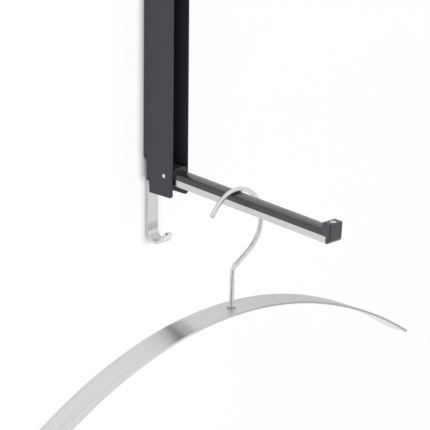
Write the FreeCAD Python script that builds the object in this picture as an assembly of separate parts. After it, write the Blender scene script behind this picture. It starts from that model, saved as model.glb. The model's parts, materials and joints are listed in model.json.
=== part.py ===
# Wall mounted clothes valet: a folded steel channel with a fold-down arm, a J hook at its
# foot and a loose hanger on the arm.
# Frame: the wall is the plane Y = 0 and the valet stands out of it towards -Y, +Z is up.
# Z = 0 is the height of the arm's pivot. Millimetres.
import FreeCAD, Part
import math
import os

V = FreeCAD.Vector
os.makedirs("parts", exist_ok=True)

# ---- driving sizes ------------------------------------------------------------------
# folded channel
CHANNEL_W = 20.6          # over the two side plates
CHANNEL_D = 37.7          # out of the wall
SHEET = 1.2
BEND_R = 1.8              # outside of the two rear bends
CHANNEL_OVER = 19.5       # above the end of the folded arm
CHANNEL_FOOT = 19.4       # side plates' lower edge below the pivot
WEB_END = 8.6             # back ends this far below the pivot
EAR_BACK = 8.2            # rear edge of the side plates below the back, from the wall
EAR_R = 3.4               # rounded front corner of the side plates
STEP_TOP = 12.4           # top of the slope where the back steps forward
STEP_RISE = 3.0           # height of that slope
STEP_R = 1.2              # rounding at the slope's two ends
WALL_HOLE_D = 5.0         # two holes for the wall screws
WALL_HOLE_LOW = 50.0      # lower hole above the pivot
WALL_HOLE_DOWN = 51.0     # upper hole below the channel's top

# hook strip behind the channel's foot
STRIP_W = 12.9
STRIP_T = 3.0
STRIP_TOP = 8.4
STRIP_FALL = 58.0         # bend centre of the J below the pivot
HOOK_OUT_R = 11.5         # outside radius of the J
HOOK_SLANT = 32.0         # degrees, lip leaning out of upright
HOOK_LIP = 6.8            # straight lip after the bend
HOOK_CORNER = 6.2         # nearly full round end of the lip
EDGE_EASE = 0.3           # broken edges of the bright metal pieces

# arm, measured along it from the pivot and above its axis
DROOP = 3.3               # degrees below level when it rests on its stop
ARM_W = 15.0
RAIL_BOTTOM = 6.85        # below the pivot axis
RAIL_H = 6.1
RAIL_WALL = 1.5
RAIL_FLOOR = 2.5
RAIL_START = 9.2
RAIL_END = 196.3
COVER_START = 12.8        # in front of the knuckle's shoulder
COVER_H = 6.1             # crown of the cover above the rail
CROWN_R = 28.0            # its nearly flat top
SHOULDER_R = 2.6          # round shoulders between the top and the straight sides
COVER_WALL = 1.6
COVER_LEG = 3.1           # legs reach this far down into the rail
CAP_LEN = 9.8
CAP_W = 15.4
CAP_TOP = 11.75           # top of the cap above the pivot axis
CAP_NOSE = 5.2            # cap beyond the rail's end
CAP_BELOW = 0.5           # nose below the rail
CAP_R = 0.9               # upper corners of the cap
CAP_FACE_R = 0.6          # round its front face
CAP_BACK_R = 1.3          # upper rear edge
CAP_FOOT_R = 1.1          # lower corners of the cap's nose
CAP_CHIN_R = 5.0          # lower front edge of the nose
CAP_TONGUE = 16.0

# knuckle
PIVOT_OUT = 27.0          # pivot axis from the wall
ARCH_TOP = 9.2
ARCH_R = 5.0
ARCH_END = 11.0           # front face of the arched shoulder
KNUCKLE_TONGUE = 22.0

# pin and bushes
PIN_D = 4.0
PIN_PROUD = 0.25
PIN_CHAMFER = 0.35
BUSH_D = 6.5
BUSH_LEN = 5.0
FLANGE_D = 9.5
FLANGE_T = 0.35

# stop block with its pad
BLOCK_D = 8.0
BLOCK_H = 16.0
PAD_T = 1.5
PAD_H = 6.4
PAD_W = 12.0
STOP_SCREW_PITCH = 8.0

# magnet catch at the head of the channel
MAGNET_D = 6.0
MAGNET_T = 2.5
MAGNET_BACK = 4.3         # disc centre from the cap's front face
CATCH_W = 14.0
CATCH_H = 16.0
CATCH_FLANGE_T = 4.0
CATCH_FILLET = 0.8        # between the flange and the tower
CATCH_MARGIN = 1.3        # flange beyond the screw heads
CATCH_MAGNET_D = 8.0
CATCH_MAGNET_T = 3.0

# screws
SCREW_D = 3.0
HEAD_D = 5.5
HEAD_H = 2.0
DRIVE_AF = 2.5            # hexagon socket across flats
DRIVE_DEEP = 1.1
CSK_D = 5.6
RAIL_SCREW_FLOOR = 0.55   # rail left under the blind holes

# hanger, upright about its stem, 0 = top of the band on the stem axis
WIRE_D = 4.5
LOOP_R = 32.55            # centre line of the hook
LOOP_X = 3.0              # loop centre beside the stem
LOOP_Z = 77.3             # loop centre above the band
LOOP_TIP = 141.0          # degrees, where the loop runs out into its straight tip
LOOP_TOP = 60.0           # degrees, where its two arcs join
TIP_LEN = 10.0
TIP_R = 1.4
SHANK_Z = 36.7            # where the slanted run would meet the stem
SHANK_R = 9.5
BAND_W = 29.0
BAND_T = 2.1
BAND_HALF = 233.0         # half the band's chord
BAND_R1 = 387.3           # middle arc
BAND_X1 = 107.0           # where the flatter end arcs start
BAND_R2 = 454.6
BAND_CORNER = 5.0
COLLAR_D = 8.4
COLLAR_H = 2.8
NUT_D = 8.0
NUT_H = 5.0
NUT_FLANGE = 1.2
HANGER_LEAN = 1.1         # degrees, as it hangs
HANGER_X = -4.8           # stem at the band, from the arm's middle plane
HANGER_OUT = 108.7        # hook from the wall

# clearances
SEAT = 0.3                # between pieces that lie side by side
RUN = 0.05                # radial, for what turns
SNUG = 0.02               # radial, for what is pressed or screwed in
STOP_GAP = 0.2            # heel to pad
SLIP = 0.15               # cover legs and tongues in the rail
TOUCH = 0.1               # ends that butt

# ---- what follows from them ---------------------------------------------------------
INSIDE = CHANNEL_W / 2 - SHEET              # half the room between the side plates
STEP = STRIP_T + SEAT                       # the back steps forward over the strip
RAIL_TOP = RAIL_H - RAIL_BOTTOM             # height above the pivot axis
COVER_TOP = RAIL_TOP + COVER_H
KNUCKLE_W = 2 * (INSIDE - FLANGE_T - SLIP)
COVER_END = RAIL_END + CAP_NOSE - CAP_LEN - TOUCH
CAP_END = RAIL_END + CAP_NOSE
CHANNEL_TOP = CAP_END + CHANNEL_OVER
TONGUE_W = ARM_W - 2 * RAIL_WALL - 2 * SLIP
TONGUE_TOP = RAIL_TOP + RUN
TONGUE_FOOT = RAIL_FLOOR - RAIL_BOTTOM + RUN
BLOCK_FRONT = STEP + SHEET + BLOCK_D
HEEL = PIVOT_OUT - BLOCK_FRONT - PAD_T - STOP_GAP
MAGNET_AT = CAP_END - MAGNET_BACK
CATCH_FRONT = PIVOT_OUT - CAP_TOP - SEAT    # from the wall, as the folded cap leaves it
CATCH_SCREW = CATCH_H / 2 + CATCH_FILLET + HEAD_D / 2 + SLIP
PIVOT = V(0, -PIVOT_OUT, 0)


# ---- helpers ------------------------------------------------------------------------
def outline(corners, to3d):
    """Closed face from (u, v, r) corners, each rounded by its own radius r."""
    n = len(corners)
    stops = []
    for i, (u, v, r) in enumerate(corners):
        p = V(u, v, 0)
        a = (V(*corners[i - 1][:2], 0) - p).normalize()
        b = (V(*corners[(i + 1) % n][:2], 0) - p).normalize()
        if r <= 0:
            stops.append((p, None, p))
            continue
        half = a.getAngle(b) / 2
        cut = r / math.tan(half)
        mid = p + (a + b).normalize() * (r / math.sin(half) - r)
        stops.append((p + a * cut, mid, p + b * cut))
    edges = []
    for i, (start, mid, end) in enumerate(stops):
        if mid is not None:
            edges.append(Part.Arc(to3d(start), to3d(mid), to3d(end)).toShape())
        after = stops[(i + 1) % n][0]
        if (after - end).Length > 1e-6:
            edges.append(Part.LineSegment(to3d(end), to3d(after)).toShape())
    return Part.Face(Part.Wire(edges))


def across(corners, width, x0=None):
    """Side outline in (y, z), extruded along X, centred unless x0 is given."""
    x = -width / 2 if x0 is None else x0
    return outline(corners, lambda p: V(x, p.x, p.y)).extrude(V(width, 0, 0))


def along(corners, near, far):
    """Front outline in (x, z), extruded towards -Y from y = -near to y = -far."""
    return outline(corners, lambda p: V(p.x, -near, p.y)).extrude(V(0, near - far, 0))


def upright(corners, low, high):
    """Plan outline in (x, y), extruded from z = low to z = high."""
    return outline(corners, lambda p: V(p.x, p.y, low)).extrude(V(0, 0, high - low))


def box(x0, x1, y0, y1, z0, z1):
    return Part.makeBox(x1 - x0, y1 - y0, z1 - z0, V(x0, y0, z0))


def rod(d, start, end):
    return Part.makeCylinder(d / 2, (end - start).Length, start, end - start)


def edges_where(shape, test):
    """Edges whose own box passes the test."""
    return [e for e in shape.Edges if test(e.BoundBox)]


def flat(lo, hi, at):
    return abs(lo - at) < 1e-3 and abs(hi - at) < 1e-3


def place_arm(shape):
    """From the level arm, pivot at the origin, to where it rests on its stop."""
    shape = shape.copy()
    shape.rotate(V(0, 0, 0), V(1, 0, 0), DROOP)
    shape.translate(PIVOT)
    return shape


def place_hanger(shape):
    """From the upright hanger to where it hangs on the arm."""
    shape = shape.copy()
    shape.rotate(V(0, 0, 0), V(0, 1, 0), HANGER_LEAN)
    shape.translate(V(HANGER_X, -HANGER_OUT, HANGER_Z))
    return shape


def save(name, shape):
    if len(shape.Solids) == 1:
        shape = shape.Solids[0]
    shape = shape.removeSplitter()
    shape.exportStep("parts/%s.step" % name)


def cap_screw(length):
    """Cylinder-head screw along -Z, head seat at z = 0, hexagon socket in the head."""
    head = rod(HEAD_D, V(0, 0, 0), V(0, 0, HEAD_H))
    head = head.makeChamfer(0.25, edges_where(head, lambda b: flat(b.ZMin, b.ZMax, HEAD_H)))
    r = DRIVE_AF / math.sqrt(3)
    hexagon = [V(r * math.cos(a), r * math.sin(a), HEAD_H)
               for a in [math.radians(60 * k) for k in range(7)]]
    socket = Part.Face(Part.makePolygon(hexagon)).extrude(V(0, 0, -DRIVE_DEEP))
    return head.fuse(rod(SCREW_D, V(0, 0, -length), V(0, 0, 0))).cut(socket)


def towards_front(shape, at):
    """Turn a piece made along +Z so that it faces -Y, with its z = 0 at the given place."""
    shape = shape.copy()
    shape.rotate(V(0, 0, 0), V(1, 0, 0), 90)
    shape.translate(at)
    return shape


# ---- channel ------------------------------------------------------------------------
def back_line(inward):
    """Rear line of the channel from the top down to the back's end, moved in by inward."""
    lift = inward * math.tan(math.atan2(STEP, STEP_RISE) / 2)
    return [(-inward, STEP_TOP - lift, STEP_R), (-STEP - inward, STEP_TOP - STEP_RISE - lift, STEP_R)]


envelope = across(
    [(0, CHANNEL_TOP, 0)] + back_line(0) + [
        (-STEP, -WEB_END, 0), (-EAR_BACK, -WEB_END, 0), (-EAR_BACK, -CHANNEL_FOOT, 0.5),
        (-CHANNEL_D, -CHANNEL_FOOT, EAR_R), (-CHANNEL_D, CHANNEL_TOP, 0.8)], CHANNEL_W)
channel = envelope.makeFillet(BEND_R, [
    e for e in edges_where(envelope, lambda b: flat(abs(b.XMin), abs(b.XMax), CHANNEL_W / 2)
                           and b.YMin > -STEP - 1e-3 and b.ZMax - b.ZMin > 1e-3
                           and b.ZMin > -WEB_END - 1e-3)])
room = across(
    [(-SHEET, CHANNEL_TOP + 1, 0)] + back_line(SHEET) + [
        (-STEP - SHEET, -CHANNEL_FOOT - 1, 0), (-CHANNEL_D - 1, -CHANNEL_FOOT - 1, 0),
        (-CHANNEL_D - 1, CHANNEL_TOP + 1, 0)], 2 * INSIDE)
channel = channel.cut(room)

wall_holes = [WALL_HOLE_LOW, CHANNEL_TOP - WALL_HOLE_DOWN]
stop_screws = [-STOP_SCREW_PITCH / 2, STOP_SCREW_PITCH / 2]
catch_screws = [MAGNET_AT - CATCH_SCREW, MAGNET_AT + CATCH_SCREW]
for z in wall_holes:
    channel = channel.cut(rod(WALL_HOLE_D, V(0, 1, z), V(0, -SHEET - 1, z)))
for z in stop_screws:
    channel = channel.cut(rod(SCREW_D + 2 * RUN, V(0, -STEP + 1, z), V(0, -STEP - SHEET - 1, z)))
for z in catch_screws:
    channel = channel.cut(rod(SCREW_D + 2 * SNUG, V(0, 1, z), V(0, -SHEET - 1, z)))
channel = channel.cut(rod(PIN_D + 2 * SNUG, PIVOT - V(CHANNEL_W, 0, 0), PIVOT + V(CHANNEL_W, 0, 0)))
save("wall_channel", channel)

# ---- hook strip ---------------------------------------------------------------------
half_w = STRIP_W / 2
lip_turn = math.radians(HOOK_SLANT)


def j_corner(r):
    """Where the shank's line and the lip's line meet, for the face bent to radius r."""
    return V(0, r - HOOK_OUT_R, -STRIP_FALL - r / math.tan(lip_turn / 2))


lip_run = V(0, -math.sin(lip_turn), math.cos(lip_turn)) * (HOOK_OUT_R / math.tan(lip_turn / 2) + HOOK_LIP)
lip_out = j_corner(HOOK_OUT_R) + lip_run
lip_in = lip_out + V(0, math.cos(lip_turn), math.sin(lip_turn)) * STRIP_T
strip = across([(0, STRIP_TOP, 0), (0, j_corner(HOOK_OUT_R).z, HOOK_OUT_R),
                (lip_out.y, lip_out.z, 0), (lip_in.y, lip_in.z, 0),
                (-STRIP_T, j_corner(HOOK_OUT_R - STRIP_T).z, HOOK_OUT_R - STRIP_T),
                (-STRIP_T, STRIP_TOP, 0)], STRIP_W)
strip = strip.makeFillet(HOOK_CORNER, edges_where(
    strip, lambda b: flat(abs(b.XMin), abs(b.XMax), half_w) and flat(b.ZMin, lip_out.z, lip_out.z)
    and flat(b.ZMax, lip_in.z, lip_in.z)))
for z in stop_screws:
    strip = strip.cut(rod(SCREW_D + 2 * SNUG, V(0, 1, z), V(0, -STRIP_T - 1, z)))
strip = strip.makeChamfer(EDGE_EASE, edges_where(
    strip, lambda b: flat(abs(b.XMin), abs(b.XMax), half_w)
    and b.ZMax - b.ZMin > STRIP_FALL / 2))
save("hook_strip", strip)

# ---- stop block, pad and their screws -----------------------------------------------
block_w = 2 * INSIDE - 2 * SEAT
block = across([(-STEP - SHEET, BLOCK_H / 2, 0), (-STEP - SHEET, -BLOCK_H / 2, 0),
                (-BLOCK_FRONT, -BLOCK_H / 2, 1.0), (-BLOCK_FRONT, BLOCK_H / 2, 1.5)], block_w)
sink = HEAD_H + SEAT
for z in stop_screws:
    seat = V(0, sink - BLOCK_FRONT, z)
    block = block.cut(rod(SCREW_D + 2 * RUN, V(0, 0, z), seat))
    block = block.cut(rod(HEAD_D + 2 * SLIP, seat, V(0, -BLOCK_FRONT - 1, z)))
save("stop_block", block)

pad_z = -BLOCK_H / 2 + 1.0
save("stop_pad", along([(-PAD_W / 2, pad_z, 1.2), (PAD_W / 2, pad_z, 1.2),
                        (PAD_W / 2, pad_z + PAD_H, 1.2), (-PAD_W / 2, pad_z + PAD_H, 1.2)],
                       BLOCK_FRONT, BLOCK_FRONT + PAD_T))
save("stop_screws", Part.makeCompound([
    towards_front(cap_screw(BLOCK_FRONT - sink - RUN), V(0, sink - BLOCK_FRONT, z))
    for z in stop_screws]))

# ---- pin and bushes -----------------------------------------------------------------
pin_half = CHANNEL_W / 2 + PIN_PROUD
pin = rod(PIN_D, PIVOT - V(pin_half, 0, 0), PIVOT + V(pin_half, 0, 0))
save("pivot_pin", pin.makeChamfer(PIN_CHAMFER, edges_where(
    pin, lambda b: flat(abs(b.XMin), abs(b.XMax), pin_half))))
for side, name in ((-1, "bush_left"), (1, "bush_right")):
    face = V(side * KNUCKLE_W / 2, 0, 0)
    bush = rod(BUSH_D, face - V(side * BUSH_LEN, 0, 0), face)
    bush = bush.fuse(rod(FLANGE_D, face, face + V(side * FLANGE_T, 0, 0)))
    bush = bush.cut(rod(PIN_D + 2 * RUN, V(-ARM_W, 0, 0), V(ARM_W, 0, 0)))
    save(name, place_arm(bush))

# ---- arm ----------------------------------------------------------------------------
arm_half = ARM_W / 2
shoulder_x = arm_half - SHOULDER_R
side_top = COVER_TOP - CROWN_R + math.sqrt((CROWN_R - SHOULDER_R) ** 2 - shoulder_x ** 2)
shoulder_turn = math.acos(shoulder_x / (CROWN_R - SHOULDER_R))


def dome_section(y, foot):
    """Section of the cover at y, down to the foot: straight sides, round shoulders, flat crown."""
    def on_shoulder(side, turn):
        return V(side * (shoulder_x + SHOULDER_R * math.cos(turn)), y,
                 side_top + SHOULDER_R * math.sin(turn))

    edges = [Part.LineSegment(V(-arm_half, y, foot), V(arm_half, y, foot)).toShape(),
             Part.Arc(on_shoulder(-1, shoulder_turn), V(0, y, COVER_TOP),
                      on_shoulder(1, shoulder_turn)).toShape()]
    for side in (-1, 1):
        edges.append(Part.LineSegment(V(side * arm_half, y, foot), on_shoulder(side, 0)).toShape())
        edges.append(Part.Arc(on_shoulder(side, 0), on_shoulder(side, shoulder_turn / 2),
                              on_shoulder(side, shoulder_turn)).toShape())
    return Part.Face(Part.Wire(Part.sortEdges(edges)[0]))


# knuckle between the side plates, with an arched shoulder and a tongue in the rail
knuckle_half = KNUCKLE_W / 2
knuckle = along([(-knuckle_half, -RAIL_BOTTOM, 1.0), (knuckle_half, -RAIL_BOTTOM, 1.0),
                 (knuckle_half, ARCH_TOP, ARCH_R), (-knuckle_half, ARCH_TOP, ARCH_R)],
                -PIVOT_OUT / 2, ARCH_END)
knuckle = knuckle.makeFillet(0.8, edges_where(
    knuckle, lambda b: flat(b.YMin, b.YMax, -ARCH_END) and b.ZMax > ARCH_TOP - ARCH_R + 0.1))
knuckle = knuckle.cut(box(-ARM_W, ARM_W, -RAIL_END, TOUCH - RAIL_START, -ARM_W, RAIL_TOP + RUN))
neck = dome_section(1 - ARCH_END, RAIL_TOP + RUN).extrude(V(0, ARCH_END - 1 - COVER_START + TOUCH, 0))
tongue_half = TONGUE_W / 2
tongue = box(-tongue_half, tongue_half, -RAIL_START - KNUCKLE_TONGUE, 1 - RAIL_START, TONGUE_FOOT, TONGUE_TOP)
knuckle = place_arm(knuckle.fuse([neck, tongue]))
# its heel is upright on the pad at rest and turns on its own radius above the pin
swing = across([(HEEL, -PIVOT_OUT, 0), (HEEL, HEEL, HEEL), (-RAIL_END, HEEL, 0),
                (-RAIL_END, -PIVOT_OUT, 0)], 2 * ARM_W)
swing.translate(PIVOT)
knuckle = knuckle.common(swing)
knuckle = knuckle.cut(rod(BUSH_D + 2 * SNUG, PIVOT - V(ARM_W, 0, 0), PIVOT + V(ARM_W, 0, 0)))

# countersunk screws through the tongues into the rail's floor
KNUCKLE_SCREWS = [RAIL_START + 6.5, RAIL_START + 16.5]
CAP_SCREW = RAIL_END - CAP_LEN + CAP_NOSE - 5.0
screw_foot = RAIL_SCREW_FLOOR - RAIL_BOTTOM


def csk(clear, y):
    """Countersunk screw body along Z, head flush with the tongues' top."""
    d, cone = SCREW_D + 2 * clear, (CSK_D - SCREW_D) / 2
    top = TONGUE_TOP - RUN if not clear else TONGUE_TOP
    head = Part.makeCone(d / 2, CSK_D / 2 + clear, cone, V(0, y, top - cone))
    return head.fuse(rod(d, V(0, y, screw_foot + (RUN if not clear else 0)), V(0, y, top - cone)))


for s in KNUCKLE_SCREWS:
    knuckle = knuckle.cut(place_arm(csk(RUN, -s)))
save("arm_knuckle", knuckle)

rail = along([(-arm_half, -RAIL_BOTTOM, EDGE_EASE), (arm_half, -RAIL_BOTTOM, EDGE_EASE),
              (arm_half, RAIL_TOP, EDGE_EASE), (arm_half - RAIL_WALL, RAIL_TOP, 0),
              (arm_half - RAIL_WALL, RAIL_FLOOR - RAIL_BOTTOM, 0),
              (RAIL_WALL - arm_half, RAIL_FLOOR - RAIL_BOTTOM, 0),
              (RAIL_WALL - arm_half, RAIL_TOP, 0), (-arm_half, RAIL_TOP, EDGE_EASE)],
             RAIL_START, RAIL_END)
for s in KNUCKLE_SCREWS + [CAP_SCREW]:
    rail = rail.cut(rod(SCREW_D + 2 * SNUG, V(0, -s, screw_foot), V(0, -s, 0)))
save("arm_rail", place_arm(rail))

cover = dome_section(-COVER_START, RAIL_TOP).extrude(V(0, COVER_START - COVER_END, 0))
hollow_half = tongue_half - COVER_WALL
legs = box(-tongue_half, tongue_half, -COVER_END, -COVER_START, RAIL_TOP - COVER_LEG, RAIL_TOP)
cover = cover.fuse(legs)
cover = cover.cut(along(
    [(-hollow_half, RAIL_TOP - COVER_LEG - 1, 0), (hollow_half, RAIL_TOP - COVER_LEG - 1, 0),
     (hollow_half, COVER_TOP - COVER_WALL, 2.2), (-hollow_half, COVER_TOP - COVER_WALL, 2.2)],
    COVER_START - 1, COVER_END + 1))
for start, end in ((COVER_START - 1, RAIL_START + KNUCKLE_TONGUE + TOUCH),
                   (RAIL_END - CAP_TONGUE - TOUCH, COVER_END + 1)):
    cover = cover.cut(box(-tongue_half - 1, tongue_half + 1, -end, -start,
                          RAIL_TOP - COVER_LEG - 1, TONGUE_TOP + RUN).common(
                              box(-tongue_half, tongue_half, -end, -start, -RAIL_BOTTOM, RAIL_TOP + 1)))
save("arm_cover", place_arm(cover))
save("rail_screws", Part.makeCompound([place_arm(csk(0, -s)) for s in KNUCKLE_SCREWS + [CAP_SCREW]]))

# end cap: a raised head over the rail's end, a nose beyond it and a tongue inside it
cap_half = CAP_W / 2
cap_foot = -RAIL_BOTTOM - CAP_BELOW
cap_rear = CAP_LEN - CAP_END
cap_side = along([(-cap_half, RAIL_TOP, 0), (cap_half, RAIL_TOP, 0),
                  (cap_half, CAP_TOP, CAP_R), (-cap_half, CAP_TOP, CAP_R)], -cap_rear, CAP_END)
nose = along([(-cap_half, cap_foot, CAP_FOOT_R), (cap_half, cap_foot, CAP_FOOT_R),
              (cap_half, CAP_TOP - CAP_R, 0), (-cap_half, CAP_TOP - CAP_R, 0)],
             RAIL_END + TOUCH, CAP_END)
cap = cap_side.fuse(nose).removeSplitter()
cap = cap.common(across([(cap_rear, CAP_TOP, CAP_BACK_R), (cap_rear, cap_foot, 0),
                         (-CAP_END, cap_foot, CAP_CHIN_R), (-CAP_END, CAP_TOP, CAP_FACE_R)],
                        CAP_W))
cap = cap.common(upright([(-cap_half, cap_rear, 0), (cap_half, cap_rear, 0),
                          (cap_half, -CAP_END, CAP_FACE_R), (-cap_half, -CAP_END, CAP_FACE_R)],
                         cap_foot, CAP_TOP)).removeSplitter()
cap = cap.fuse(box(-tongue_half, tongue_half, -RAIL_END - 1, -RAIL_END + CAP_TONGUE,
                   TONGUE_FOOT, TONGUE_TOP))
cap = cap.cut(csk(RUN, -CAP_SCREW))
cap = cap.cut(rod(MAGNET_D + 2 * SNUG, V(0, -MAGNET_AT, CAP_TOP - MAGNET_T), V(0, -MAGNET_AT, CAP_TOP + 1)))
save("end_cap", place_arm(cap))


def disc(d, t):
    """Magnet disc with broken edges, from z = -t to z = 0."""
    body = rod(d, V(0, 0, -t), V(0, 0, 0))
    return body.makeChamfer(0.25, edges_where(body, lambda b: flat(b.ZMin, b.ZMax, 0)))


magnet = disc(MAGNET_D, MAGNET_T)
magnet.translate(V(0, -MAGNET_AT, CAP_TOP))
save("cap_magnet", place_arm(magnet))

# ---- magnet catch -------------------------------------------------------------------
catch_half, flange_half = CATCH_H / 2, CATCH_SCREW + HEAD_D / 2 + CATCH_MARGIN
flange_y = -SHEET - CATCH_FLANGE_T
catch = across([(-SHEET, MAGNET_AT + flange_half, 0), (-SHEET, MAGNET_AT - flange_half, 0),
                (flange_y, MAGNET_AT - flange_half, 1.0), (flange_y, MAGNET_AT - catch_half, CATCH_FILLET),
                (-CATCH_FRONT, MAGNET_AT - catch_half, 1.0), (-CATCH_FRONT, MAGNET_AT + catch_half, 1.0),
                (flange_y, MAGNET_AT + catch_half, CATCH_FILLET), (flange_y, MAGNET_AT + flange_half, 1.0)],
               CATCH_W)
for z in catch_screws:
    catch = catch.cut(rod(SCREW_D + 2 * RUN, V(0, 0, z), V(0, flange_y - 1, z)))
catch = catch.cut(rod(CATCH_MAGNET_D + 2 * SNUG, V(0, CATCH_MAGNET_T - CATCH_FRONT, MAGNET_AT),
                      V(0, -CATCH_FRONT - 1, MAGNET_AT)))
save("catch_block", catch)
save("catch_magnet", towards_front(disc(CATCH_MAGNET_D, CATCH_MAGNET_T), V(0, -CATCH_FRONT, MAGNET_AT)))
save("catch_screws", Part.makeCompound([
    towards_front(cap_screw(SHEET + CATCH_FLANGE_T - RUN), V(0, flange_y, z)) for z in catch_screws]))

# ---- hanger -------------------------------------------------------------------------
# the wire rests on the crown of the cover, at the place where it hangs
crown = (COVER_TOP / math.cos(math.radians(DROOP))
         - (HANGER_OUT - PIVOT_OUT) * math.tan(math.radians(DROOP)))
loop_top = LOOP_Z + LOOP_R - WIRE_D / 2
HANGER_Z = crown + SEAT - loop_top * math.cos(math.radians(HANGER_LEAN))


def xz(x, z):
    return V(x, 0, z)


def on_arc(centre, r, deg):
    return centre + xz(r * math.cos(math.radians(deg)), r * math.sin(math.radians(deg)))


def arc(centre, r, deg0, deg1):
    return Part.Arc(*[on_arc(centre, r, d) for d in (deg0, (deg0 + deg1) / 2, deg1)]).toShape()


# slanted run: the tangent from the loop to the stem, rounded where it meets the stem
loop = xz(LOOP_X, LOOP_Z)
gap_x, gap_z = LOOP_X, LOOP_Z - SHANK_Z
far = math.hypot(gap_x, gap_z)
loop_low = math.degrees(math.atan2(-gap_z, -gap_x) + math.acos(LOOP_R / far))
run_start = on_arc(loop, LOOP_R, loop_low)
corner = xz(0, SHANK_Z)
run_dir = (run_start - corner).normalize()
half_turn = run_dir.getAngle(V(0, 0, -1)) / 2
back_off = SHANK_R / math.tan(half_turn)
bisector = (run_dir + V(0, 0, -1)).normalize()
bend_mid = corner + bisector * (SHANK_R / math.sin(half_turn) - SHANK_R)
nut_seat = -BAND_T - SLIP
stem_foot = nut_seat - NUT_H + 1.5
tip_start = on_arc(loop, LOOP_R, LOOP_TIP)
tip = tip_start + on_arc(xz(0, 0), TIP_LEN, LOOP_TIP + 90)
path = Part.Wire([
    Part.LineSegment(xz(0, stem_foot), corner - V(0, 0, back_off)).toShape(),
    Part.Arc(corner - V(0, 0, back_off), bend_mid, corner + run_dir * back_off).toShape(),
    Part.LineSegment(corner + run_dir * back_off, run_start).toShape(),
    arc(loop, LOOP_R, loop_low, LOOP_TOP),
    arc(loop, LOOP_R, LOOP_TOP, LOOP_TIP),
    Part.LineSegment(tip_start, tip).toShape()])
profile = Part.Wire([Part.makeCircle(WIRE_D / 2, xz(0, stem_foot), V(0, 0, 1))])
wire = path.makePipeShell([profile], True, True)
wire = wire.makeFillet(TIP_R, [e for e in wire.Edges if len(e.Vertexes) < 3
                               and (e.CenterOfMass - tip).Length < 0.05])
save("hanger_hook", place_hanger(wire))

collar = rod(COLLAR_D, xz(0, SLIP), xz(0, SLIP + COLLAR_H))
collar = collar.makeFillet(0.7, edges_where(collar, lambda b: flat(b.ZMin, b.ZMax, SLIP + COLLAR_H)))
save("hook_collar", place_hanger(collar.cut(rod(WIRE_D + 2 * SNUG, xz(0, -1), xz(0, SLIP + COLLAR_H + 1)))))

nut = rod(NUT_D, xz(0, nut_seat - NUT_FLANGE), xz(0, nut_seat))
dome = rod(NUT_D - 1.4, xz(0, nut_seat - NUT_H), xz(0, nut_seat - NUT_FLANGE))
dome = dome.makeFillet(2.2, edges_where(dome, lambda b: flat(b.ZMin, b.ZMax, nut_seat - NUT_H)))
nut = nut.fuse(dome).cut(rod(WIRE_D + 2 * SNUG, xz(0, stem_foot - SLIP), xz(0, nut_seat + 1)))
save("stem_nut", place_hanger(nut))


def band_point(x, down):
    """Point of the band's profile at x, offset square to the curve by down."""
    turn1 = math.asin(BAND_X1 / BAND_R1)
    shift_x = BAND_X1 - BAND_R2 * math.sin(turn1)
    shift_z = BAND_R1 * (math.cos(turn1) - 1) - BAND_R2 * math.cos(turn1)
    a = abs(x)
    if a <= BAND_X1:
        t = math.asin(a / BAND_R1)
        px, pz = (BAND_R1 - down) * math.sin(t), (BAND_R1 - down) * math.cos(t) - BAND_R1
    else:
        t = math.asin((a - shift_x) / BAND_R2)
        px = shift_x + (BAND_R2 - down) * math.sin(t)
        pz = shift_z + (BAND_R2 - down) * math.cos(t)
    return V(math.copysign(px, x), BAND_W / 2, pz)


def band_arc(x0, x1, down):
    return Part.Arc(band_point(x0, down), band_point((x0 + x1) / 2, down), band_point(x1, down)).toShape()


spans = [(-BAND_HALF, -BAND_X1), (-BAND_X1, BAND_X1), (BAND_X1, BAND_HALF)]
section = [band_arc(a, b, 0) for a, b in spans]
section.append(Part.LineSegment(band_point(BAND_HALF, 0), band_point(BAND_HALF, BAND_T)).toShape())
section += [band_arc(b, a, BAND_T) for a, b in reversed(spans)]
section.append(Part.LineSegment(band_point(-BAND_HALF, BAND_T), band_point(-BAND_HALF, 0)).toShape())
band = Part.Face(Part.Wire(section)).extrude(V(0, -BAND_W, 0))
band = band.makeFillet(BAND_CORNER, edges_where(
    band, lambda b: abs(b.XMin) > BAND_HALF - 2 and flat(abs(b.YMin), abs(b.YMax), BAND_W / 2)
    and b.XMax - b.XMin < BAND_T and b.ZMax - b.ZMin > BAND_T / 2))
band = band.cut(rod(WIRE_D + 2 * RUN, xz(0, -BAND_T - 5), xz(0, 5)))
save("hanger_band", place_hanger(band))
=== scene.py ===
import bpy
import json
import math
from mathutils import Matrix, Vector

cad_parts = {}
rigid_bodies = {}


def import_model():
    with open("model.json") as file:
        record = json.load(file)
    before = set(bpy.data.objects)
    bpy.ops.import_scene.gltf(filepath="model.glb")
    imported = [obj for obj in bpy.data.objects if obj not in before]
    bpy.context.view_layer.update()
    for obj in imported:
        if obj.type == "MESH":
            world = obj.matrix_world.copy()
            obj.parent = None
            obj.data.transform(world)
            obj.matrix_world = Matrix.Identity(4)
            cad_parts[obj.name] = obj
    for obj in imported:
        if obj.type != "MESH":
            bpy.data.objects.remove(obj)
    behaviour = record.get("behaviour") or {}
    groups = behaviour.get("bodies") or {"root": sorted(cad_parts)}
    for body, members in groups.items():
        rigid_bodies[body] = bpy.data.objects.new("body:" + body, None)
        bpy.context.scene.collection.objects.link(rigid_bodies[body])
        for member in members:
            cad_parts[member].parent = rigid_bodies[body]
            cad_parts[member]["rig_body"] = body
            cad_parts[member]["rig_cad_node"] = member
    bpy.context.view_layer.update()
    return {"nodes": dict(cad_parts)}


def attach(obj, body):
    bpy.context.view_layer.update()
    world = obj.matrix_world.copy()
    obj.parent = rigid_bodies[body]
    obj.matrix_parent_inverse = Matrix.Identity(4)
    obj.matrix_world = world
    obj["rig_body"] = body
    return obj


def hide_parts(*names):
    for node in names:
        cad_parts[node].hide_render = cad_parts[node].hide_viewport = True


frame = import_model()

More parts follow.
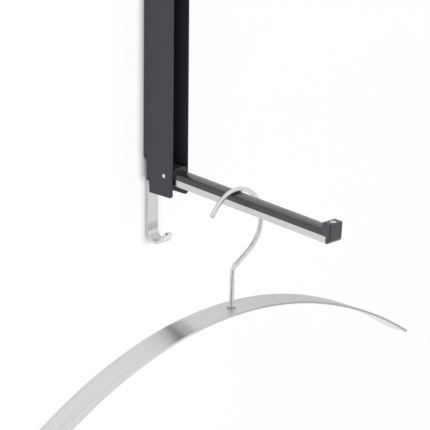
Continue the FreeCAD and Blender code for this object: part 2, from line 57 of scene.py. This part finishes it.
# ---- wall and floor -----------------------------------------------------------------
# A plain white painted wall carries the valet, and a pale floor lies well below it. Both
# are seen from their front only, and not by the faces that lie on the wall, so the back
# of the valet can be looked at.
ROOM_SIDE = 6.0
WALL_GAP = 0.0003          # from the channel's back to the paint
FLOOR_Z = -0.75            # measured from the arm's pivot
PAINT_WHITE = 0.90         # how white both look, where 1 is paper
PAINT_SHADOWS = 0.10       # how strongly they show the lamps' light and shadows
CORNER_SHADE = 0.0085      # how far the painted soft shade reaches round what stands on them


def add_node(tree, kind, inputs=None, **settings):
    """A shader node: its settings are made, then each input gets a value or a result."""
    made = tree.nodes.new(kind)
    for label, value in settings.items():
        setattr(made, label, value)
    for label, value in (inputs or {}).items():
        if isinstance(value, bpy.types.NodeSocket):
            tree.links.new(value, made.inputs[label])
        else:
            made.inputs[label].default_value = value
    return made


def seen_by(tree, path, *rays):
    """1 for the named kinds of ray, with which the eye sees a thing, and 0 for the rest."""
    seen = path.outputs[rays[0]]
    for ray in rays[1:]:
        seen = add_node(tree, "ShaderNodeMath", {0: seen, 1: path.outputs[ray]},
                        operation="MAXIMUM").outputs["Value"]
    return seen


room_white = bpy.data.materials.new("room_white")
room_white.use_nodes = True
tree = room_white.node_tree
tree.nodes.clear()
paint = add_node(tree, "ShaderNodeBsdfDiffuse",
                 {"Color": (PAINT_SHADOWS, PAINT_SHADOWS, PAINT_SHADOWS, 1)})
# painted shade: the wall's glow is darkened by ambient occlusion near what stands on it
corner = add_node(tree, "ShaderNodeAmbientOcclusion", {"Distance": CORNER_SHADE}, samples=16)
glow = add_node(tree, "ShaderNodeEmission",
                {"Color": corner.outputs["Color"], "Strength": PAINT_WHITE})
painted = add_node(tree, "ShaderNodeAddShader",
                   {0: paint.outputs["BSDF"], 1: glow.outputs["Emission"]})
clear = add_node(tree, "ShaderNodeBsdfTransparent")
path = add_node(tree, "ShaderNodeLightPath")
seen = seen_by(tree, path, "Is Camera Ray", "Is Glossy Ray")
side = add_node(tree, "ShaderNodeNewGeometry")
in_front = add_node(tree, "ShaderNodeMath", {0: seen, 1: side.outputs["Backfacing"]},
                    operation="SUBTRACT", use_clamp=True)
apart = add_node(tree, "ShaderNodeMath", {0: path.outputs["Ray Length"], 1: 4 * WALL_GAP},
                 operation="GREATER_THAN")
shown = add_node(tree, "ShaderNodeMath",
                 {0: in_front.outputs["Value"], 1: apart.outputs["Value"]},
                 operation="MULTIPLY")
choose = add_node(tree, "ShaderNodeMixShader",
                  {"Fac": shown.outputs["Value"], 1: clear.outputs["BSDF"],
                   2: painted.outputs["Shader"]})
add_node(tree, "ShaderNodeOutputMaterial", {"Surface": choose.outputs["Shader"]})

bpy.ops.object.select_all(action="DESELECT")
bpy.ops.mesh.primitive_plane_add(size=ROOM_SIDE, location=(0, WALL_GAP, FLOOR_Z + ROOM_SIDE / 2),
                                 rotation=(math.radians(90), 0, 0))
wall = bpy.context.object
wall.name = "room_wall"
bpy.ops.mesh.primitive_plane_add(size=ROOM_SIDE, location=(0, WALL_GAP - ROOM_SIDE / 2, FLOOR_Z))
floor = bpy.context.object
floor.name = "room_floor"
for stage in (wall, floor):
    stage.data.materials.append(room_white)

# ---- room light ---------------------------------------------------------------------
# Even light from all round, one large soft lamp above and in front, a weaker one from the
# left and a small one low down. The room itself looks white to the eye and in metal.
ROOM_LIGHT = 0.55


def surround(tree, strength):
    """An even white light from all round."""
    return add_node(tree, "ShaderNodeBackground", {"Color": (1, 1, 1, 1), "Strength": strength})


room = bpy.data.worlds.new("room")
bpy.context.scene.world = room
room.use_nodes = True
tree = room.node_tree
tree.nodes.clear()
ambient = surround(tree, ROOM_LIGHT)
white = surround(tree, 1)
path = add_node(tree, "ShaderNodeLightPath")
seen = seen_by(tree, path, "Is Camera Ray", "Is Glossy Ray", "Is Transmission Ray")
choose = add_node(tree, "ShaderNodeMixShader",
                  {"Fac": seen, 1: ambient.outputs["Background"], 2: white.outputs["Background"]})
add_node(tree, "ShaderNodeOutputWorld", {"Surface": choose.outputs["Shader"]})


def lamp(name, place, aim, side, watts):
    """A soft square lamp that faces a point and isn't seen itself."""
    bpy.ops.object.light_add(type="AREA", location=place)
    made = bpy.context.object
    made.name = name
    made.data.size = side
    made.data.energy = watts
    made.visible_camera = made.visible_glossy = False
    made.rotation_euler = (Vector(aim) - Vector(place)).to_track_quat("-Z", "Y").to_euler()


lamp("key", place=(0.55, -1.9, 1.35), aim=(0, -0.05, -0.03), side=2.3, watts=26)
lamp("fill", place=(-1.9, -1.2, 0.5), aim=(0, -0.05, -0.03), side=2.0, watts=12)
lamp("low_fill", place=(-0.32, -0.25, -0.32), aim=(0, -0.03, 0), side=0.2, watts=0.8)

# ---- boards in the room -------------------------------------------------------------
# Two flat boards that only shiny surfaces show, as painted reflections: a glowing one on the
# floor by the wall, for a bright patch of floor, and a dark one low down in front on the left,
# for the unlit end of the room.
BOARD_LIFT = 0.001         # the lit board lies this far above the floor


def board(name, place, turn, size, finish, color, glow):
    """A flat board, turned by degrees round X, Y and Z, that only shiny surfaces show."""
    bpy.ops.mesh.primitive_plane_add(size=1, location=place)
    made = bpy.context.object
    made.name = name
    made.dimensions = (*size, 0)
    made.rotation_euler = [math.radians(degrees) for degrees in turn]
    made.visible_camera = made.visible_diffuse = made.visible_shadow = False
    made.visible_transmission = False
    material = bpy.data.materials.new(finish)
    material.use_nodes = True
    surface = material.node_tree.nodes["Principled BSDF"].inputs
    surface["Base Color"].default_value = (color, color, color, 1)
    surface["Emission Color"].default_value = (1, 1, 1, 1)
    surface["Emission Strength"].default_value = glow
    made.data.materials.append(material)
    return made


# painted highlight: a glowing board, no lamp, seen only in shiny surfaces as a bright patch of
# floor
glow_board = board("room_glow_board", place=(0.65, -0.27, FLOOR_Z + BOARD_LIFT),
                  turn=(0, 0, 0), size=(0.8, 0.5), finish="glow_board_white", color=0, glow=1.3)
# painted shade: a dark board seen only in shiny surfaces, for the unlit end of the room
dark_end = board("room_dark_end", place=(-0.91, -0.92, -0.28), turn=(102, 0, -45),
                 size=(0.7, 1.5), finish="unlit_room_shade", color=0.03, glow=0)

# ---- camera -------------------------------------------------------------------------
# It stands 2.6 m off, to the left and a little above, with a long lens. Colours come out
# as they are written.
CAMERA_PLACE = (-1.75425, -1.79087, 0.75718)
TURNED_RIGHT = 45.756      # degrees from facing the wall squarely
LOOKING_DOWN = 17.746      # degrees
ROLLED = 0.605             # degrees
camera = bpy.data.cameras.new("camera")
camera.sensor_width = 36
camera.lens = 239.74
camera.clip_start = 0.1
camera.clip_end = 20
camera_stand = bpy.data.objects.new("camera", camera)
bpy.context.scene.collection.objects.link(camera_stand)
camera_stand.location = CAMERA_PLACE
camera_stand.rotation_euler = (
    Matrix.Rotation(math.radians(-TURNED_RIGHT), 3, "Z")
    @ Matrix.Rotation(math.radians(90 - LOOKING_DOWN), 3, "X")
    @ Matrix.Rotation(math.radians(ROLLED), 3, "Z")).to_euler()
bpy.context.scene.camera = camera_stand
bpy.context.scene.view_settings.view_transform = "Standard"

# ---- wall channel -------------------------------------------------------------------
# Folded 1.2 mm steel sheet, laser cut and powder coated black with a fine satin texture.
# The back steps forward over the hook strip, and two 5 mm holes take the wall screws.
BROKEN_EDGE = 0.0002       # how far a sharp edge is broken
JOINED_WITHIN = 0.000001
FLAT_WITHIN = 0.6          # degrees
SHARP_ABOVE = 40           # degrees


def finished(cad_piece, body, material, edge=0.0, smooth_below=30):
    """A finished copy of a CAD piece, in its place: its triangles are joined, its sharp edges
    are broken by edge, and faces that meet at less than smooth_below degrees shade as one."""
    piece = frame["nodes"][cad_piece].copy()
    piece.data = piece.data.copy()
    piece.name = cad_piece + "_finished"
    # the copy is a piece of its own, so it sheds the marks of the CAD piece
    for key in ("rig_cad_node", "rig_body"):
        if key in piece:
            del piece[key]
    piece.parent = None
    bpy.context.scene.collection.objects.link(piece)
    bpy.ops.object.select_all(action="DESELECT")
    bpy.context.view_layer.objects.active = piece
    piece.select_set(True)
    if piece.data.has_custom_normals:
        bpy.ops.mesh.customdata_custom_splitnormals_clear()
    bpy.ops.object.mode_set(mode="EDIT")
    bpy.ops.mesh.select_all(action="SELECT")
    bpy.ops.mesh.remove_doubles(threshold=JOINED_WITHIN)
    bpy.ops.mesh.dissolve_limited(angle_limit=math.radians(FLAT_WITHIN))
    bpy.ops.object.mode_set(mode="OBJECT")
    if edge:
        broken = piece.modifiers.new("broken_edges", "BEVEL")
        broken.width = edge
        broken.segments = 2
        broken.limit_method = "ANGLE"
        broken.angle_limit = math.radians(SHARP_ABOVE)
        bpy.ops.object.modifier_apply(modifier=broken.name)
    bpy.ops.object.shade_smooth_by_angle(angle=math.radians(smooth_below))
    even = piece.modifiers.new("even_shading", "WEIGHTED_NORMAL")
    even.keep_sharp = True
    bpy.ops.object.modifier_apply(modifier=even.name)
    piece.data.materials.clear()
    piece.data.materials.append(material)
    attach(piece, body)
    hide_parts(cad_piece)
    return piece


def finish_group(name, taken):
    """An empty node group that takes the named values and gives a colour, a roughness and a
    normal. With it come the values that it takes, for its nodes to read."""
    made = bpy.data.node_groups.new(name, "ShaderNodeTree")
    for label, kind, value in taken:
        socket = made.interface.new_socket(name=label, in_out="INPUT", socket_type=kind)
        socket.default_value = value
    for label, kind in (("Color", "NodeSocketColor"), ("Roughness", "NodeSocketFloat"),
                        ("Normal", "NodeSocketVector")):
        made.interface.new_socket(name=label, in_out="OUTPUT", socket_type=kind)
    return made, made.nodes.new("NodeGroupInput").outputs


def spread(tree, value, low, high, from_low=0, from_high=1):
    """A value that runs from from_low to from_high, spread evenly over low to high."""
    return add_node(tree, "ShaderNodeMapRange", {
        "Value": value, "From Min": from_low, "From Max": from_high,
        "To Min": low, "To Max": high}).outputs["Result"]


def give_finish(tree, given, normal, tone, step):
    """Ends a finish group: its colour is scaled by the tone, and its roughness is raised by
    the step."""
    shade = add_node(tree, "ShaderNodeVectorMath", {0: given["Color"], "Scale": tone},
                     operation="SCALE")
    rough = add_node(tree, "ShaderNodeMath", {0: given["Roughness"], 1: step}, operation="ADD")
    add_node(tree, "NodeGroupOutput", {
        "Color": shade.outputs["Vector"], "Roughness": rough.outputs["Value"], "Normal": normal})


# a fine grain stands up from the coat, and soft clouds vary its colour and its gloss
CLOUDS_PER_METRE = 35
coat_group, given = finish_group("grained_coat", (
    ("Color", "NodeSocketColor", (0.03, 0.03, 0.03, 1)),
    ("Grain per metre", "NodeSocketFloat", 1400),
    ("Grain height", "NodeSocketFloat", 0.00001),
    ("Roughness", "NodeSocketFloat", 0.45)))
place = add_node(coat_group, "ShaderNodeTexCoord").outputs["Object"]
grain = add_node(coat_group, "ShaderNodeTexNoise",
                 {"Vector": place, "Scale": given["Grain per metre"], "Detail": 3})
relief = add_node(coat_group, "ShaderNodeBump",
                  {"Height": grain.outputs["Fac"], "Distance": given["Grain height"]})
cloud = add_node(coat_group, "ShaderNodeTexNoise",
                 {"Vector": place, "Scale": CLOUDS_PER_METRE, "Detail": 4}).outputs["Fac"]
give_finish(coat_group, given, relief.outputs["Normal"],
            tone=spread(coat_group, cloud, low=0.85, high=1.15),
            step=spread(coat_group, cloud, low=-0.05, high=0.05))


def material_on(group, name, values):
    """A material whose colour, roughness and relief come from a finish group with its own
    values, and the inputs of its surface."""
    made = bpy.data.materials.new(name)
    made.use_nodes = True
    tree = made.node_tree
    finish = add_node(tree, "ShaderNodeGroup", values, node_tree=group, name="finish")
    surface = tree.nodes["Principled BSDF"].inputs
    tree.links.new(finish.outputs["Color"], surface["Base Color"])
    tree.links.new(finish.outputs["Roughness"], surface["Roughness"])
    tree.links.new(finish.outputs["Normal"], surface["Normal"])
    return made, surface


def coated(name, color, rough, grain, height, specular=0.5):
    """A painted, moulded or rubber surface with grain to the metre that rises by height."""
    made, surface = material_on(coat_group, name, {
        "Color": (*color, 1), "Roughness": rough,
        "Grain per metre": grain, "Grain height": height})
    surface["Specular IOR Level"].default_value = specular
    return made


powder_coat = coated("powder_coat", color=(0.030, 0.0284, 0.038), rough=0.46,
                     grain=1500, height=0.000012)
finished("wall_channel", "housing", powder_coat, edge=BROKEN_EDGE)

# ---- hook strip ---------------------------------------------------------------------
# A 13 mm strip of stainless steel behind the channel's foot, brushed along its length and
# bent to a J for a second garment. Its edges are broken with a file. Painted shade darkens
# it in the bend and just above it, standing in for the dark reflections there.
BEND_OUT = 0.0115          # from the wall to the middle of the bend
BEND_SHADE_FROM = -0.070        # the height at which the painted shade begins
BEND_SHADE_TO = -0.045          # and where it has ended
BEND_SHADE_STOPS = (            # how far up between the two, and how bright the painted shade leaves the strip
    (0.12, 0.72), (0.17, 0.80), (0.30, 0.82), (0.35, 1.0),
    (0.43, 1.0), (0.48, 0.72), (0.66, 0.76), (0.82, 1.0))
ON_EDGE = 0.3              # an edge's normal leans more than this to the strip's side
QUARTER_TURN = 0.25        # as a share of a whole turn

# hairlines run along the stroke of the brush, and vary the metal's colour and its gloss
brush_group, given = finish_group("brushed_grain", (
    ("Color", "NodeSocketColor", (0.6, 0.6, 0.6, 1)),
    ("Turn", "NodeSocketVector", (0, 0, 0)),
    ("Lines per metre", "NodeSocketVector", (2500, 60, 60)),
    ("Line depth", "NodeSocketFloat", 0.000004),
    ("Lean", "NodeSocketVector", (0, 0, 0)),
    ("Roughness", "NodeSocketFloat", 0.3)))
place = add_node(brush_group, "ShaderNodeTexCoord").outputs["Object"]
turned = add_node(brush_group, "ShaderNodeMapping", {"Vector": place, "Rotation": given["Turn"]})
drawn = add_node(brush_group, "ShaderNodeVectorMath",
                 {0: turned.outputs["Vector"], 1: given["Lines per metre"]},
                 operation="MULTIPLY")
hairlines = add_node(brush_group, "ShaderNodeTexNoise",
                     {"Vector": drawn.outputs["Vector"], "Scale": 1, "Detail": 4}).outputs["Fac"]
relief = add_node(brush_group, "ShaderNodeBump",
                  {"Height": hairlines, "Distance": given["Line depth"]})
leant = add_node(brush_group, "ShaderNodeVectorMath",
                 {0: relief.outputs["Normal"], 1: given["Lean"]}, operation="ADD")
level = add_node(brush_group, "ShaderNodeVectorMath", {0: leant.outputs["Vector"]},
                 operation="NORMALIZE")
give_finish(brush_group, given, level.outputs["Vector"],
            tone=spread(brush_group, hairlines, low=0.90, high=1.06,
                        from_low=0.25, from_high=0.75),
            step=spread(brush_group, hairlines, low=0.06, high=-0.06))


def brushed(name, color, rough, lines, depth, turn=(0, 0, 0), round_axis=None, stretch=0.0,
            edge_tint=1.0, lean=(0, 0, 0), metal=1.0):
    """A bare metal with brush lines to the metre along X, Y and Z, cut by depth. On a strip
    bent round an axis its reflections stretch across the strip, and lean tips them."""
    made, surface = material_on(brush_group, name, {
        "Color": (*color, 1), "Roughness": rough, "Lines per metre": lines,
        "Line depth": depth, "Turn": turn, "Lean": lean})
    surface["Metallic"].default_value = metal
    surface["Specular Tint"].default_value = (edge_tint, edge_tint, edge_tint, 1)
    if round_axis:
        surface["Anisotropic"].default_value = stretch
        surface["Anisotropic Rotation"].default_value = QUARTER_TURN
        lengthwise = add_node(made.node_tree, "ShaderNodeTangent",
                              direction_type="RADIAL", axis=round_axis)
        made.node_tree.links.new(lengthwise.outputs["Tangent"], surface["Tangent"])
    return made


def refinish(piece, material, chosen):
    """Gives the chosen faces of a finished piece a material of their own."""
    piece.data.materials.append(material)
    for face in piece.data.polygons:
        if chosen(face):
            face.material_index = len(piece.data.materials) - 1


def distance_along(tree, axis):
    """How far along an axis of the valet a point of the surface lies, in metres."""
    place = add_node(tree, "ShaderNodeTexCoord").outputs["Object"]
    return add_node(tree, "ShaderNodeSeparateXYZ", {"Vector": place}).outputs[axis]


strip_steel = brushed("strip_steel", color=(0.68, 0.68, 0.68), rough=0.22,
                      lines=(900, 12, 12), depth=0.000002)
strip = finished("hook_strip", "housing", strip_steel, edge=BROKEN_EDGE)

# painted shade: darker stops in the bend and just above it stand in for dark reflections there
bend_shaded_steel = strip_steel.copy()
bend_shaded_steel.name = "strip_bend_painted_shade"
tree = bend_shaded_steel.node_tree
way_up = spread(tree, distance_along(tree, "Z"), low=0, high=1,
                from_low=BEND_SHADE_FROM, from_high=BEND_SHADE_TO)
bend_shade = add_node(tree, "ShaderNodeValToRGB", {"Fac": way_up})
stops = bend_shade.color_ramp.elements
for share, left in BEND_SHADE_STOPS:
    stops.new(share).color = (left, left, left, 1)
# a new ramp brings a black and a white end of its own, which aren't wanted
stops.remove(stops[0])
stops.remove(stops[-1])
bend_shaded = add_node(tree, "ShaderNodeVectorMath",
                   {0: tree.nodes["finish"].outputs["Color"], 1: bend_shade.outputs["Color"]},
                   operation="MULTIPLY")
tree.links.new(bend_shaded.outputs["Vector"], tree.nodes["Principled BSDF"].inputs["Base Color"])


def bend_shade_face(face):
    """The strip's two flat sides, as far out from the wall as the middle of the bend."""
    return abs(face.normal.x) < ON_EDGE and face.center.y > -BEND_OUT


refinish(strip, bend_shaded_steel, bend_shade_face)

# ---- stop block, pad and screws -----------------------------------------------------
# The arm's heel comes to rest on a rubber pad on a moulded block. Two zinc plated cap
# screws clamp block, channel and hook strip together.
moulded = coated("moulded_black", color=(0.031, 0.0315, 0.0345), rough=0.38,
                 grain=2200, height=0.000006, specular=0.7)
rubber = coated("pad_rubber", color=(0.018, 0.018, 0.018), rough=0.75,
                grain=3000, height=0.00001, specular=0.3)
zinc = brushed("zinc_plate", color=(0.60, 0.61, 0.63), rough=0.32,
               lines=(600, 600, 600), depth=0.000004)
finished("stop_block", "housing", moulded, edge=BROKEN_EDGE)
finished("stop_pad", "housing", rubber, edge=BROKEN_EDGE)
finished("stop_screws", "housing", zinc)

# ---- magnet catch -------------------------------------------------------------------
# A moulded block high in the channel holds a nickel plated disc magnet that catches the
# folded arm. Two cap screws from the front hold it to the channel's back.
nickel = brushed("nickel_plate", color=(0.615, 0.605, 0.59), rough=0.2,
                 lines=(900, 900, 900), depth=0.000002)
finished("catch_block", "housing", moulded, edge=BROKEN_EDGE)
finished("catch_magnet", "housing", nickel)
finished("catch_screws", "housing", zinc)

# ---- pivot pin and bushes -----------------------------------------------------------
# A 4 mm ground steel pin pressed through both side plates carries the arm, which turns on
# it in two flanged bronze bushes.
ground_steel = brushed("ground_steel", color=(0.72, 0.72, 0.72), rough=0.16,
                       lines=(60, 2000, 2000), depth=0.000001)
bronze = brushed("sintered_bronze", color=(0.46, 0.30, 0.14), rough=0.38,
                 lines=(1500, 1500, 1500), depth=0.000006)
finished("pivot_pin", "housing", ground_steel)
finished("bush_left", "arm", bronze)
finished("bush_right", "arm", bronze)

# ---- knuckle ------------------------------------------------------------------------
# The arm's moulded root, glass filled nylon, with an arched shoulder between the plates
# and a tongue that is screwed into the rail.
nylon = coated("glass_filled_nylon", color=(0.022, 0.022, 0.025), rough=0.42,
               grain=2600, height=0.000008, specular=0.45)
finished("arm_knuckle", "arm", nylon, edge=BROKEN_EDGE)

# ---- rail and its screws ------------------------------------------------------------
# The bright lower half of the arm, a stainless U brushed along its length. Three
# countersunk screws hold the tongues of knuckle and cap down on its floor.
ARM_DROOP = 3.3            # degrees below level
RAIL_EDGE = 0.0001
rail_steel = brushed("rail_steel", color=(0.64, 0.64, 0.64), rough=0.26,
                     lines=(2600, 40, 2600), depth=0.000003,
                     turn=(-math.radians(ARM_DROOP), 0, 0))
finished("arm_rail", "arm", rail_steel, edge=RAIL_EDGE)
finished("rail_screws", "arm", zinc)

# ---- cover --------------------------------------------------------------------------
# A glossy black extruded plastic cover closes the rail: straight sides, round shoulders
# and a nearly flat crown that garments and hangers rest on.
cover_black = coated("cover_black", color=(0.030, 0.030, 0.032), rough=0.2,
                     grain=1800, height=0.000001, specular=0.65)
finished("arm_cover", "arm", cover_black, smooth_below=25)

# ---- end cap and its magnet ---------------------------------------------------------
# A moulded cap over the arm's end, with rounded edges and matt upright corners that are
# painted darker, as painted shade for the dark line along them. A nickel plated disc magnet
# sits flush in its top and meets the catch when the arm is folded.
ROUNDED = 0.25             # an upright corner's normal leans more than this to both sides
TIPPED = 0.3               # and less than this up or down
cap = finished("end_cap", "arm", moulded, smooth_below=40)
# painted shade: the upright corners' colour is darker than the rest of the cap
shaded_matt_corner = coated("cap_corner", color=(0.012, 0.012, 0.013), rough=0.5,
                     grain=2200, height=0.000006, specular=0.05)


def upright_corner(face):
    """The rounded corners between the cap's upright sides."""
    to_side, to_front, up = (abs(share) for share in face.normal)
    return to_side > ROUNDED and to_front > ROUNDED and up < TIPPED


refinish(cap, shaded_matt_corner, upright_corner)
finished("cap_magnet", "arm", nickel)

# ---- hanger wire --------------------------------------------------------------------
# A hook bent from 4.5 mm stainless wire, polished by tumbling, with a turned collar above
# the band and a domed nut below it, in which it turns.
wire_steel = brushed("wire_steel", color=(0.73, 0.73, 0.73), rough=0.3,
                     lines=(300, 300, 300), depth=0.000001, edge_tint=0.8)
turned_steel = brushed("turned_steel", color=(0.66, 0.66, 0.66), rough=0.05,
                       lines=(300, 300, 300), depth=0.000001)
finished("hanger_hook", "hanger_wire", wire_steel, smooth_below=50)
finished("hook_collar", "hanger_wire", turned_steel, smooth_below=40)
finished("stem_nut", "hanger_wire", turned_steel, smooth_below=40)

# ---- hanger band --------------------------------------------------------------------
# An arched band of 2.1 mm stainless strip, 29 mm wide with rounded corners, brushed along
# its length above and below. Its cut edges are painted bright at the near end and darker
# from the middle on, as painted shade for the darker reflections along them.
EDGE_SHADE_BEGINS = -0.10          # along X, where the painted shade on the cut edges begins
EDGE_SHADE_FULL = 0.03           # and from where it is full
EDGE_UNSHADED = 0.72
EDGE_SHADED = 0.46
BAND_LEAN = -0.038         # tips the reflections in the band's upper side along its length
band_steel = brushed("band_steel", color=(0.71, 0.71, 0.71), rough=0.21,
                     lines=(9, 700, 9), depth=0.000001, round_axis="Y", stretch=1.0,
                     edge_tint=0.7, lean=(BAND_LEAN, 0, 0), metal=0.85)
under_steel = brushed("band_under_steel", color=(0.72, 0.72, 0.72), rough=0.24,
                      lines=(9, 700, 9), depth=0.000001, round_axis="Y", stretch=0.9)
cut_steel = brushed("band_edge_steel", color=(0.7, 0.7, 0.7), rough=0.3,
                    lines=(300, 300, 300), depth=0.000001)
# painted shade: the cut edges' colour darkens along X, standing in for darker reflections
tree = cut_steel.node_tree
edge_shade = spread(tree, distance_along(tree, "X"), low=EDGE_UNSHADED, high=EDGE_SHADED,
                from_low=EDGE_SHADE_BEGINS, from_high=EDGE_SHADE_FULL)
edge_shade_grey = add_node(tree, "ShaderNodeCombineColor", {"Red": edge_shade, "Green": edge_shade, "Blue": edge_shade})
tree.links.new(edge_shade_grey.outputs["Color"], tree.nodes["Principled BSDF"].inputs["Base Color"])


def cut_edge(face):
    """The band's two long cut edges and its rounded corners."""
    return abs(face.normal.y) > ON_EDGE


def underside(face):
    """What looks down between the cut edges."""
    return face.normal.z < 0 and not cut_edge(face)


band = finished("hanger_band", "hanger_arch", band_steel, edge=BROKEN_EDGE)
refinish(band, cut_steel, cut_edge)
refinish(band, under_steel, underside)
